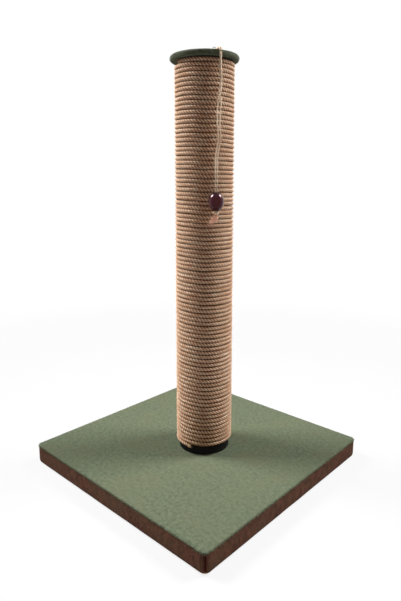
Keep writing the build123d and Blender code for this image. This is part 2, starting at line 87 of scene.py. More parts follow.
class Recipe:
    """Lays out the nodes of one material round its main shader."""

    def __init__(self, name: str) -> None:
        """Starts a material that has a shader and an output."""
        self.material = bpy.data.materials.new(name)
        self.material.use_nodes = True
        self.nodes = self.material.node_tree.nodes
        self.nodes.clear()
        self.shader = self.nodes.new("ShaderNodeBsdfPrincipled")
        self.output = self.nodes.new("ShaderNodeOutputMaterial")
        self.link(self.shader.outputs["BSDF"], self.output.inputs["Surface"])

    def link(self, source: bpy.types.NodeSocket, target: bpy.types.NodeSocket) -> None:
        """Joins one socket to another."""
        self.material.node_tree.links.new(source, target)

    def plug(self, target: bpy.types.NodeSocket, value: object) -> None:
        """Joins a socket to another socket, or sets its plain value."""
        if isinstance(value, bpy.types.NodeSocket):
            self.link(value, target)
        else:
            target.default_value = value

    def place(self, output: str = "Object") -> bpy.types.NodeSocket:
        """The point being shaded, in the object's own coordinates or another kind."""
        return self.nodes.new("ShaderNodeTexCoord").outputs[output]

    def attribute(self, name: str) -> bpy.types.NodeSocket:
        """A number kept on the mesh."""
        node = self.nodes.new("ShaderNodeAttribute")
        node.attribute_name = name
        return node.outputs["Fac"]

    def stretched(self, vector: bpy.types.NodeSocket, scale: Point) -> bpy.types.NodeSocket:
        """Coordinates scaled along each axis."""
        node = self.nodes.new("ShaderNodeMapping")
        node.inputs["Scale"].default_value = scale
        self.link(vector, node.inputs["Vector"])
        return node.outputs["Vector"]

    def axes(self, vector: bpy.types.NodeSocket) -> bpy.types.bpy_prop_collection:
        """Coordinates split into X, Y and Z."""
        node = self.nodes.new("ShaderNodeSeparateXYZ")
        self.link(vector, node.inputs[0])
        return node.outputs

    def noise(
        self, vector: bpy.types.NodeSocket, scale: float, detail: float = 3.0, rough: float = 0.55
    ) -> bpy.types.NodeSocket:
        """Cloudy noise.

        Args:
            vector: coordinates.
            scale: how many features there are to a metre.
            detail: layers of finer noise.
            rough: share that each finer layer keeps.

        Returns:
            The noise's socket, from 0 to 1.
        """
        node = self.nodes.new("ShaderNodeTexNoise")
        node.inputs["Scale"].default_value = scale
        node.inputs["Detail"].default_value = detail
        node.inputs["Roughness"].default_value = rough
        self.link(vector, node.inputs["Vector"])
        return node.outputs["Fac"]

    def cells(self, vector: bpy.types.NodeSocket, scale: float) -> bpy.types.NodeSocket:
        """Distance to the middles of random cells."""
        node = self.nodes.new("ShaderNodeTexVoronoi")
        node.inputs["Scale"].default_value = scale
        self.link(vector, node.inputs["Vector"])
        return node.outputs["Distance"]

    def ramp(self, amount: bpy.types.NodeSocket, stops: list[tuple[float, Colour]]) -> bpy.types.NodeSocket:
        """A colour that changes along stops.

        Args:
            amount: where along the ramp.
            stops: places with their screen colours.

        Returns:
            The colour's socket.
        """
        node = self.nodes.new("ShaderNodeValToRGB")
        elements = node.color_ramp.elements
        while len(elements) < len(stops):
            elements.new(0.5)
        for element, (position, colour) in zip(elements, stops):
            element.position = position
            element.color = linear(colour)
        self.link(amount, node.inputs["Fac"])
        return node.outputs["Color"]

    def mixed(
        self, amount: object, first: object, second: object, blend: str = "MIX"
    ) -> bpy.types.NodeSocket:
        """Two colours mixed.

        Args:
            amount: share of the second.
            first: a colour or its socket.
            second: a colour or its socket.
            blend: how they mix.

        Returns:
            The mixed colour's socket.
        """
        node = self.nodes.new("ShaderNodeMix")
        node.data_type = "RGBA"
        node.blend_type = blend
        self.plug(node.inputs[0], amount)
        self.plug(node.inputs[6], first)
        self.plug(node.inputs[7], second)
        return node.outputs[2]

    def sum_of(self, operation: str, first: object, second: object) -> bpy.types.NodeSocket:
        """Arithmetic on two numbers."""
        node = self.nodes.new("ShaderNodeMath")
        node.operation = operation
        self.plug(node.inputs[0], first)
        self.plug(node.inputs[1], second)
        return node.outputs[0]

    def between(
        self,
        amount: bpy.types.NodeSocket,
        low: float,
        high: float,
        from_low: float = 0.0,
        from_high: float = 1.0,
    ) -> bpy.types.NodeSocket:
        """A number moved from one range to another, and kept in it.

        Args:
            amount: the number.
            low: lower end of the new range.
            high: upper end of the new range.
            from_low: lower end of the old range.
            from_high: upper end of the old range.

        Returns:
            The moved number's socket.
        """
        node = self.nodes.new("ShaderNodeMapRange")
        node.inputs["From Min"].default_value = from_low
        node.inputs["From Max"].default_value = from_high
        node.inputs["To Min"].default_value = low
        node.inputs["To Max"].default_value = high
        self.link(amount, node.inputs["Value"])
        return node.outputs["Result"]

    def relief(self, height: bpy.types.NodeSocket, depth: float, strength: float = 1.0) -> None:
        """Gives the shader a bump of that depth in metres."""
        node = self.nodes.new("ShaderNodeBump")
        node.inputs["Strength"].default_value = strength
        node.inputs["Distance"].default_value = depth
        self.link(height, node.inputs["Height"])
        self.link(node.outputs["Normal"], self.shader.inputs["Normal"])

    def set(self, **sockets: object) -> None:
        """Sets the shader's sockets, named with underscores for spaces."""
        for name, value in sockets.items():
            self.plug(self.shader.inputs[name.replace("_", " ")], value)


@dataclass(frozen=True)
class PileFinish:
    """Short brushed pile: mottled tufts, a soft sheen and a nap of tiny dimples.

    Attributes:
        name: material name.
        light: colour of the raised tufts.
        dark: colour between the tufts.
        tint: colour that the large patches lean to.
        patch: share of that tint.
        grain: tufts to a metre.
        nap: depth of the dimples.
        streak: how far the tufts are drawn out upward.
        sheen: share of sheen.
    """

    name: str
    light: Colour
    dark: Colour
    tint: Colour
    patch: float = 0.3
    grain: float = 900.0
    nap: float = 0.0006
    streak: float = 1.0
    sheen: float = 0.25

    def build(self) -> bpy.types.Material:
        """Makes the material."""
        recipe = Recipe(self.name)
        point = recipe.place()
        drawn = recipe.stretched(point, (1.0, 1.0, 1.0 / self.streak))
        fine = recipe.noise(drawn, self.grain, 3.0, 0.65)
        tufts = recipe.noise(drawn, self.grain / 4.5, 3.0, 0.6)
        patches = recipe.noise(point, 22.0, 2.0, 0.5)
        height = recipe.sum_of("ADD", recipe.between(fine, 0.0, 0.6), recipe.between(tufts, 0.0, 0.4))
        colour = recipe.ramp(height, [(0.34, self.dark), (0.62, self.light)])
        share = recipe.between(patches, 0.0, self.patch, 0.35, 0.7)
        recipe.set(
            Base_Color=recipe.mixed(share, colour, linear(self.tint)),
            Roughness=0.95,
            Specular_IOR_Level=0.15,
            Sheen_Weight=self.sheen,
            Sheen_Roughness=0.6,
            Sheen_Tint=linear(self.light),
        )
        recipe.relief(height, self.nap)
        return recipe.material


@dataclass(frozen=True)
class LaidFinish:
    """Plant fibre laid into rope or twine: long fibres, with painted shade in the valleys between the plies.

    Attributes:
        name: material name.
        bright: colour of the sunlit fibres.
        main: colour of most fibres.
        valley: painted shade colour for the valleys between the plies.
        fibre: fibres to a metre across the line.
        thick: diameter of the line.
    """

    name: str
    bright: Colour
    main: Colour
    valley: Colour
    fibre: float
    thick: float

    def build(self) -> bpy.types.Material:
        """Makes the material."""
        recipe = Recipe(self.name)
        spread = recipe.axes(recipe.place("UV"))
        turn = recipe.sum_of("MULTIPLY", spread["Y"], 2 * math.pi)
        joined = recipe.nodes.new("ShaderNodeCombineXYZ")
        recipe.link(recipe.sum_of("MULTIPLY", spread["X"], 0.07), joined.inputs["X"])
        for operation, axis in (("COSINE", "Y"), ("SINE", "Z")):
            turned = recipe.sum_of(operation, turn, 0.0)
            recipe.link(recipe.sum_of("MULTIPLY", turned, self.thick / 2), joined.inputs[axis])
        along = joined.outputs[0]
        fibres = recipe.noise(along, self.fibre, 3.0, 0.6)
        batch = recipe.noise(recipe.place(), 230.0, 3.0, 0.6)
        # The mesh's crown number, 0 in a valley and 1 on a crown, places the painted shade.
        crown = recipe.attribute("crown")
        shade = recipe.ramp(fibres, [(0.32, self.main), (0.68, self.bright)])
        tone = recipe.mixed(recipe.between(batch, 0.0, 0.75, 0.38, 0.62), shade, linear(self.main))
        # Painted shade: the valley colour is mixed in where the crown number is low.
        depth = recipe.between(crown, 1.0, 0.0, 0.1, 0.9)
        recipe.set(
            Base_Color=recipe.mixed(depth, tone, linear(self.valley)),
            Roughness=0.8,
            Specular_IOR_Level=0.25,
            Sheen_Weight=0.1,
            Sheen_Roughness=0.5,
            Sheen_Tint=linear(self.bright),
        )
        recipe.relief(fibres, self.thick * 0.05)
        return recipe.material


@dataclass(frozen=True)
class FibreFinish:
    """Loose single fibres, each paler or darker by its place.

    Attributes:
        name: material name.
        light: pale fibres.
        dark: dark fibres.
    """

    name: str
    light: Colour
    dark: Colour

    def build(self) -> bpy.types.Material:
        """Makes the material."""
        recipe = Recipe(self.name)
        tone = recipe.noise(recipe.place(), 420.0, 1.0, 0.5)
        recipe.set(
            Base_Color=recipe.ramp(tone, [(0.35, self.dark), (0.62, self.light)]),
            Roughness=0.85,
            Specular_IOR_Level=0.2,
        )
        return recipe.material


@dataclass(frozen=True)
class GlazeFinish:
    """Lacquered wood: deep colour with faint darker swirls under a clear coat.

    Attributes:
        name: material name.
        deep: main colour.
        dark: colour of the swirls and of the upper end.
        shine: tint of the gloss under the coat.
    """

    name: str
    deep: Colour
    dark: Colour
    shine: Colour

    def build(self) -> bpy.types.Material:
        """Makes the material."""
        recipe = Recipe(self.name)
        point = recipe.place()
        rings = recipe.noise(recipe.stretched(point, (1.0, 1.0, 0.35)), 260.0, 3.0, 0.5)
        high = recipe.between(recipe.axes(point)["Z"], 0.0, 0.5, 0.402, 0.411)
        share = recipe.sum_of("ADD", high, recipe.between(rings, 0.0, 0.5, 0.35, 0.7))
        recipe.set(
            Base_Color=recipe.mixed(share, linear(self.deep), linear(self.dark)),
            Roughness=0.12,
            Specular_IOR_Level=0.4,
            Specular_Tint=linear(self.shine),
            Coat_Weight=0.3,
            Coat_Roughness=0.04,
        )
        recipe.relief(rings, 0.00005)
        return recipe.material


@dataclass(frozen=True)
class GrainFinish:
    """A hard plain stuff whose colour and gloss vary with a drawn-out grain.

    Attributes:
        name: material name.
        light: colour of the pale grain.
        dark: colour of the dark grain.
        scale: grain to a metre.
        stretch: scale of the grain along each axis.
        rough: roughness where pale and where dark.
        bump: depth of the grain.
        metal: share of metal.
        gloss: level of the plain shine.
    """

    name: str
    light: Colour
    dark: Colour
    scale: float
    stretch: Point = (1.0, 1.0, 1.0)
    rough: tuple[float, float] = (0.6, 0.8)
    bump: float = 0.0001
    metal: float = 0.0
    gloss: float = 0.4

    def build(self) -> bpy.types.Material:
        """Makes the material."""
        recipe = Recipe(self.name)
        point = recipe.place()
        grain = recipe.noise(recipe.stretched(point, self.stretch), self.scale, 4.0, 0.6)
        flecks = recipe.cells(recipe.stretched(point, self.stretch), self.scale * 1.7)
        height = recipe.sum_of("MULTIPLY", grain, recipe.between(flecks, 0.7, 1.0, 0.0, 0.6))
        recipe.set(
            Base_Color=recipe.ramp(height, [(0.25, self.dark), (0.55, self.light)]),
            Roughness=recipe.between(grain, *self.rough),
            Metallic=self.metal,
            Specular_IOR_Level=self.gloss,
        )
        recipe.relief(height, self.bump)
        return recipe.material


@dataclass(frozen=True)
class WovenFinish:
    """Thin plain-woven cloth, its threads crossing in two directions.

    Attributes:
        name: material name.
        thread: thread colour.
        gap: colour between the threads.
        pitch: distance from thread to thread.
    """

    name: str
    thread: Colour
    gap: Colour
    pitch: float = 0.0011

    def build(self) -> bpy.types.Material:
        """Makes the material."""
        recipe = Recipe(self.name)
        across = recipe.axes(recipe.place())
        waves = []
        for axis in ("X", "Y"):
            turned = recipe.sum_of("MULTIPLY", across[axis], math.pi / self.pitch)
            waves.append(recipe.sum_of("ABSOLUTE", recipe.sum_of("SINE", turned, 0.0), 0.0))
        height = recipe.sum_of("MULTIPLY", waves[0], waves[1])
        recipe.set(
            Base_Color=recipe.ramp(height, [(0.1, self.gap), (0.6, self.thread)]), Roughness=0.9
        )
        recipe.relief(height, 0.0002)
        return recipe.material


PLUSH = PileFinish("green_plush", (103, 111, 90), (50, 60, 44), (92, 94, 72), patch=0.45, nap=0.001)
DISC_PILE = PileFinish("disc_fabric", (100, 106, 88), (46, 50, 40), (80, 84, 66), sheen=0.35)
FELT = PileFinish(
    "brown_felt", (98, 62, 46), (38, 22, 16), (74, 58, 42), patch=0.6, grain=700.0, streak=2.5, sheen=0.1
)
PLUSH_FIBRE = FibreFinish("plush_fibres", (132, 140, 116), (88, 98, 78))
FELT_FIBRE = FibreFinish("felt_fibres", (120, 80, 62), (58, 38, 30))
DISC_FIBRE = FibreFinish("disc_fibres", (136, 146, 122), (70, 80, 60))
# The third colour of each laid finish is painted shade for the valleys between the plies.
SISAL = LaidFinish("sisal_rope", (255, 234, 206), (200, 148, 110), (54, 20, 10), 900.0, 0.006)
SISAL_FIBRE = FibreFinish("sisal_fibres", (226, 196, 156), (170, 128, 90))
TWINE = LaidFinish("twine", (255, 242, 220), (238, 214, 186), (176, 136, 104), 2600.0, 0.0019)
TUFT_FIBRE = FibreFinish("frayed_twine", (255, 222, 198), (236, 176, 142))
GLAZE = GlazeFinish("bead_gloss", (58, 2, 10), (16, 6, 20), (190, 50, 70))
THREAD = FibreFinish("seam_thread", (112, 36, 26), (66, 20, 16))
CHIPBOARD = GrainFinish("chipboard", (196, 164, 118), (132, 96, 60), 260.0, (1.0, 1.0, 2.2), bump=0.0003)
PLUG_WOOD = GrainFinish("plug_wood", (206, 172, 124), (166, 128, 84), 90.0, (1.0, 9.0, 9.0))
CARDBOARD = GrainFinish("cardboard", (178, 144, 102), (140, 108, 72), 120.0, (3.0, 3.0, 0.6), (0.8, 0.95))
STEEL = GrainFinish(
    "steel", (186, 188, 190), (138, 140, 142), 300.0, (6.0, 6.0, 1.0), (0.28, 0.45), bump=0.00003, metal=1.0
)
RUBBER = GrainFinish("pad_rubber", (58, 58, 58), (34, 34, 35), 1500.0, rough=(0.75, 0.95), bump=0.0002)
PLASTIC = GrainFinish(
    "black_plastic", (16, 15, 15), (9, 9, 9), 2200.0, rough=(0.5, 0.65), bump=0.00004, gloss=0.12
)
LINING = WovenFinish("lining", (52, 52, 50), (22, 22, 21))


def unit(vectors: np.ndarray) -> np.ndarray:
    """Scales vectors to a length of one."""
    return vectors / np.maximum(np.linalg.norm(vectors, axis=-1, keepdims=True), 1e-12)


def make_piece(
    name: str,
    points: np.ndarray,
    faces: list[tuple[int, ...]] | np.ndarray,
    finish: bpy.types.Material,
    spread: np.ndarray | None = None,
    crown: np.ndarray | None = None,
) -> bpy.types.Object:
    """Makes a smooth mesh object of one material.

    Args:
        name: the piece's name.
        points: its vertices, in metres.
        faces: its faces, as lists of vertex numbers.
        finish: its material.
        spread: texture coordinates, one pair for each vertex.
        crown: a number for each vertex, from 0 in a valley to 1 on a crown, which places painted shade.

    Returns:
        The new object, linked to the scene.
    """
    mesh = bpy.data.meshes.new(name)
    mesh.from_pydata(points.tolist(), [], [list(face) for face in faces])
    mesh.polygons.foreach_set("use_smooth", [True] * len(mesh.polygons))
    mesh.materials.append(finish)
    corners = np.empty(len(mesh.loops), dtype=np.int32)
    mesh.loops.foreach_get("vertex_index", corners)
    if spread is not None:
        mesh.uv_layers.new(name="UVMap").data.foreach_set("uv", spread[corners].astype(np.float32).ravel())
    # The crown numbers are kept on the mesh for the painted shade in the valleys.
    if crown is not None:
        layer = mesh.attributes.new("crown", "FLOAT", "POINT")
        layer.data.foreach_set("value", crown.astype(np.float32))
    mesh.validate()
    mesh.update()
    piece = bpy.data.objects.new(name, mesh)
    bpy.context.scene.collection.objects.link(piece)
    return piece


def grid_faces(rows: int, columns: int, closed: bool) -> np.ndarray:
    """Faces between rows of points that have as many columns each.

    Args:
        rows: number of rows.
        columns: points in a row.
        closed: whether each row's end joins its start.

    Returns:
        The faces, four vertex numbers each.
    """
    across = np.arange(columns if closed else columns - 1)
    row = np.arange(rows - 1)[:, None] * columns
    a = row + across
    b = row + (across + 1) % columns
    return np.stack([a, b, b + columns, a + columns], axis=-1).reshape(-1, 4)


@dataclass
class Line:
    """A smooth line with a direction, an outward side and a third side at each point.

    Attributes:
        points: the line's points.
        along: directions.
        side: first direction across.
        third: second direction across.
        length: distance from the start at each point.
    """

    points: np.ndarray
    along: np.ndarray
    side: np.ndarray
    third: np.ndarray
    length: np.ndarray

    @classmethod
    def through(cls, points: np.ndarray, first_side: Point) -> "Line":
        """Carries a side along the points without twisting it.

        Args:
            points: the line's points.
            first_side: about where the side points at the start.

        Returns:
            The line.
        """
        along = unit(np.gradient(points, axis=0))
        side = np.empty_like(points)
        current = np.array(first_side, float)
        for number, direction in enumerate(along):
            current = current - direction * float(current @ direction)
            current = current / np.linalg.norm(current)
            side[number] = current
        steps = np.linalg.norm(np.diff(points, axis=0), axis=1)
        return cls(points, along, side, np.cross(along, side), np.concatenate([[0.0], np.cumsum(steps)]))


@dataclass(frozen=True)
class Plies:
    """How strands are laid together into a rope or twine.

    Attributes:
        count: number of strands.
        radius: outside radius of the whole.
        pitch: length in which a strand goes round once.
        lay: which way they go round.
        depth: how deep the valleys are, as a share of the radius.
        samples: points across each strand.
    """

    count: int
    radius: float
    pitch: float
    lay: Lay
    depth: float = 0.36
    samples: int = 5

    def section(self) -> tuple[np.ndarray, np.ndarray, np.ndarray]:
        """Angles, radii and crowns of one section's points."""
        places = np.linspace(-1, 1, self.samples + 1)[:-1]
        share = np.tile(places, self.count)
        starts = np.repeat(np.arange(self.count), self.samples) * 2 * math.pi / self.count
        crown = np.sqrt(np.clip(1 - share**2, 0, 1))
        return starts + share * math.pi / self.count, self.radius * (1 - self.depth * (1 - crown)), crown

    def lay_on(
        self, name: str, line: Line, finish: bpy.types.Material, shade_between_turns: bool = False
    ) -> bpy.types.Object:
        """Makes the laid strands along a line.

        Args:
            name: the piece's name.
            line: what they follow.
            finish: their material.
            shade_between_turns: whether turn lies on turn; if so, painted shade covers all but the outward
                side of each turn.

        Returns:
            The new object.
        """
        angle, radius, crown = self.section()
        rows = len(line.points)
        turned = angle[None, :] + self.lay.value * 2 * math.pi * line.length[:, None] / self.pitch
        reach = np.broadcast_to(radius, turned.shape)
        points = (
            line.points[:, None, :]
            + line.side[:, None, :] * (np.cos(turned) * reach)[..., None]
            + line.third[:, None, :] * (np.sin(turned) * reach)[..., None]
        )
        columns = len(angle)
        # Painted shade mask: the crown numbers, low in the valleys between the plies.
        shown = np.broadcast_to(crown, turned.shape)
        # Painted shade: on a wound rope, the sides towards the post and towards the next turns take the
        # valley colour.
        if shade_between_turns:
            shown = shown * np.clip(0.1 + 1.15 * np.cos(turned), 0.0, 1.0)
        faces = grid_faces(rows, columns, True)[:, ::-1].tolist()
        faces.append(list(range(columns)))
        faces.append(list(range(rows * columns - 1, (rows - 1) * columns - 1, -1)))
        spread = np.stack(
            [np.broadcast_to(line.length[:, None], turned.shape), (turned / (2 * math.pi)) % 1.0], axis=-1
        )
        return make_piece(
            name, points.reshape(-1, 3), faces, finish, spread.reshape(-1, 2), shown.ravel()
        )


def fibre_mesh(
    name: str, roots: np.ndarray, paths: np.ndarray, widths: np.ndarray, finish: bpy.types.Material
) -> bpy.types.Object:
    """Makes many thin fibres as tapered three-sided hairs in one mesh.

    Args:
        name: the piece's name.
        roots: where each fibre starts.
        paths: offsets from the root at each step, one row of steps for each fibre.
        widths: thickness of each fibre.
        finish: their material.

    Returns:
        The new object.
    """
    count, steps, _ = paths.shape
    middle = roots[:, None, :] + paths
    along = unit(np.gradient(middle, axis=1))
    helper = np.where(np.abs(along[..., 2:3]) > 0.8, np.array([1.0, 0.0, 0.0]), np.array([0.0, 0.0, 1.0]))
    side = unit(np.cross(along, helper))
    third = np.cross(along, side)
    taper = np.linspace(1.0, 0.25, steps)[None, :, None] * widths[:, None, None] / 2
    ring = [
        middle + taper * (side * math.cos(angle) + third * math.sin(angle))
        for angle in (0.0, 2 * math.pi / 3, 4 * math.pi / 3)
    ]
    points = np.stack(ring, axis=2).reshape(-1, 3)
    one = grid_faces(steps, 3, True)
    faces = (one[None, :, :] + (np.arange(count) * steps * 3)[:, None, None]).reshape(-1, 4)
    return make_piece(name, points, faces, finish)


def finished(piece: bpy.types.Object, body: Body, slot: str, *nodes: str) -> bpy.types.Object:
    """Makes a piece ride on its body, hides the CAD nodes that it replaces, and logs its slot.

    Args:
        piece: the new piece.
        body: the body that it rides on.
        slot: its material slot in the record.
        nodes: CAD nodes that it replaces.

    Returns:
        The piece.
    """
    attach(piece, body.value)
    if nodes:
        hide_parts(*nodes)
    log.info("%s rides on %s in the finish of %s", piece.name, body.value, slot)
    return piece


@dataclass
class StudioCamera:
    """The camera where the photograph was taken from.

    Attributes:
        place: where it stands.
        forward: where it looks.
        right: its right side.
        up: its upper side.
        lens: focal length for a 36 mm sensor.
        rise: how far the view is shifted up, as a share of the long side.
    """

    place: Point = (0.51214, -0.54534, 0.42979)
    forward: Point = (-0.67193, 0.72292, -0.16093)
    right: Point = (0.73246, 0.68081, 0.0)
    up: Point = (-0.10956, 0.11788, 0.98697)
    lens: float = 30.975
    rise: float = -0.0601

    def build(self) -> None:
        """Makes the camera and gives it to the scene."""
        data = bpy.data.cameras.new("photo_camera")
        data.lens = self.lens
        data.sensor_width = 36.0
        data.shift_y = self.rise
        data.clip_start = 0.01
        camera = bpy.data.objects.new("photo_camera", data)
        turn = Matrix((self.right, self.up, -Vector(self.forward))).transposed()
        camera.matrix_world = Matrix.Translation(self.place) @ turn.to_4x4()
        bpy.context.scene.collection.objects.link(camera)
        bpy.context.scene.camera = camera


@dataclass
class Studio:
    """White surroundings, a pale floor and soft lamps.

    Attributes:
        middle: what the lamps point at.
        floor_reach: half of the floor's side.
        ambient: strength of the light from all round.
    """

    middle: Point = (0.0, 0.0, 0.28)
    floor_reach: float = 6.0
    ambient: float = 0.035

    def whitened(
        self, recipe: Recipe, shown: bpy.types.NodeSocket, plain: bpy.types.NodeSocket
    ) -> bpy.types.NodeSocket:
        """Shows white to the camera and in reflections, and something else to the rest.

        Args:
            recipe: the material being laid out.
            shown: share of white that is shown.
            plain: what lights the scene.

        Returns:
            The mixed shader's socket.
        """
        rays = recipe.nodes.new("ShaderNodeLightPath")
        seen = recipe.sum_of("MAXIMUM", rays.outputs["Is Camera Ray"], rays.outputs["Is Glossy Ray"])
        seen = recipe.sum_of("MAXIMUM", seen, rays.outputs["Is Transmission Ray"])
        white = recipe.nodes.new("ShaderNodeEmission")
        mix = recipe.nodes.new("ShaderNodeMixShader")
        recipe.link(recipe.sum_of("MULTIPLY", seen, shown), mix.inputs[0])
        recipe.link(plain, mix.inputs[1])
        recipe.link(white.outputs[0], mix.inputs[2])
        return mix.outputs[0]

    def floor(self) -> None:
        """Makes the pale floor, which keeps the object's shadow."""
        reach = self.floor_reach
        corners = np.array([(-reach, -reach, 0), (reach, -reach, 0), (reach, reach, 0), (-reach, reach, 0)])
        recipe = Recipe("studio_floor")
        soft = recipe.noise(recipe.place(), 3.0, 1.0)
        recipe.set(
            Base_Color=recipe.ramp(soft, [(0.3, (196, 196, 196)), (0.7, (202, 202, 202))]), Roughness=1.0
        )
        away = recipe.nodes.new("ShaderNodeVectorMath")
        away.operation = "LENGTH"
        recipe.link(recipe.place(), away.inputs[0])
        shown = recipe.between(away.outputs["Value"], 0.86, 1.0, 0.3, 1.1)
        mixed = self.whitened(recipe, shown, recipe.shader.outputs["BSDF"])
        recipe.link(mixed, recipe.output.inputs["Surface"])
        floor = make_piece("studio_floor", corners, [(0, 1, 2, 3)], recipe.material)

    def surroundings(self) -> None:
        """Makes the world: white to the camera, and a low even light to the object."""
        world = bpy.data.worlds.new("studio_world")
        world.use_nodes = True
        bpy.context.scene.world = world
        nodes, links = world.node_tree.nodes, world.node_tree.links
        nodes.clear()
        rays = nodes.new("ShaderNodeLightPath")
        glow, white = nodes.new("ShaderNodeBackground"), nodes.new("ShaderNodeBackground")
        glow.inputs["Strength"].default_value = self.ambient
        white.inputs["Color"].default_value = (1.0, 1.0, 1.0, 1.0)
        glow.inputs["Color"].default_value = (1.0, 1.0, 1.0, 1.0)
        seen, clear = nodes.new("ShaderNodeMath"), nodes.new("ShaderNodeMath")
        seen.operation = clear.operation = "MAXIMUM"
        links.new(rays.outputs["Is Camera Ray"], seen.inputs[0])
        links.new(rays.outputs["Is Transmission Ray"], seen.inputs[1])
        mix, output = nodes.new("ShaderNodeMixShader"), nodes.new("ShaderNodeOutputWorld")
        links.new(seen.outputs[0], clear.inputs[0])
        links.new(rays.outputs["Is Glossy Ray"], clear.inputs[1])
        links.new(clear.outputs[0], mix.inputs[0])
        links.new(glow.outputs[0], mix.inputs[1])
        links.new(white.outputs[0], mix.inputs[2])
        links.new(mix.outputs[0], output.inputs["Surface"])

    def lamp(
        self,
        name: str,
        azimuth: float,
        height: float,
        away: float,
        size: float,
        watts: float,
        tint: Colour = (1.0, 1.0, 1.0),
    ) -> None:
        """Makes one soft lamp.

        Args:
            name: its name.
            azimuth: direction from the object, in degrees from +X.
            height: its height.
            away: distance from the object's axis.
            size: side of its square.
            watts: its power.
            tint: its colour.
        """
        data = bpy.data.lights.new(name, "AREA")
        data.color = tint
        data.shape = "SQUARE"
        data.size = size
        data.energy = watts
        data.spread = math.radians(70)
        lamp = bpy.data.objects.new(name, data)
        angle = math.radians(azimuth)
        lamp.location = (away * math.cos(angle), away * math.sin(angle), height)
        aim = Vector(self.middle) - lamp.location
        lamp.rotation_euler = aim.to_track_quat("-Z", "Y").to_euler()
        bpy.context.scene.collection.objects.link(lamp)

    def build(self) -> None:
        """Makes the floor, the world and the lamps."""
        bpy.context.scene.view_settings.view_transform = "Standard"
        self.floor()
        self.surroundings()
        self.lamp("left_lamp", -150.0, 1.5, 1.2, 0.65, 8.6)
        self.lamp("right_lamp", 52.0, 1.5, 1.2, 0.65, 7.6)
        self.lamp("front_fill", -46.0, 0.35, 1.6, 0.8, 0.2, (1.0, 0.34, 0.22))


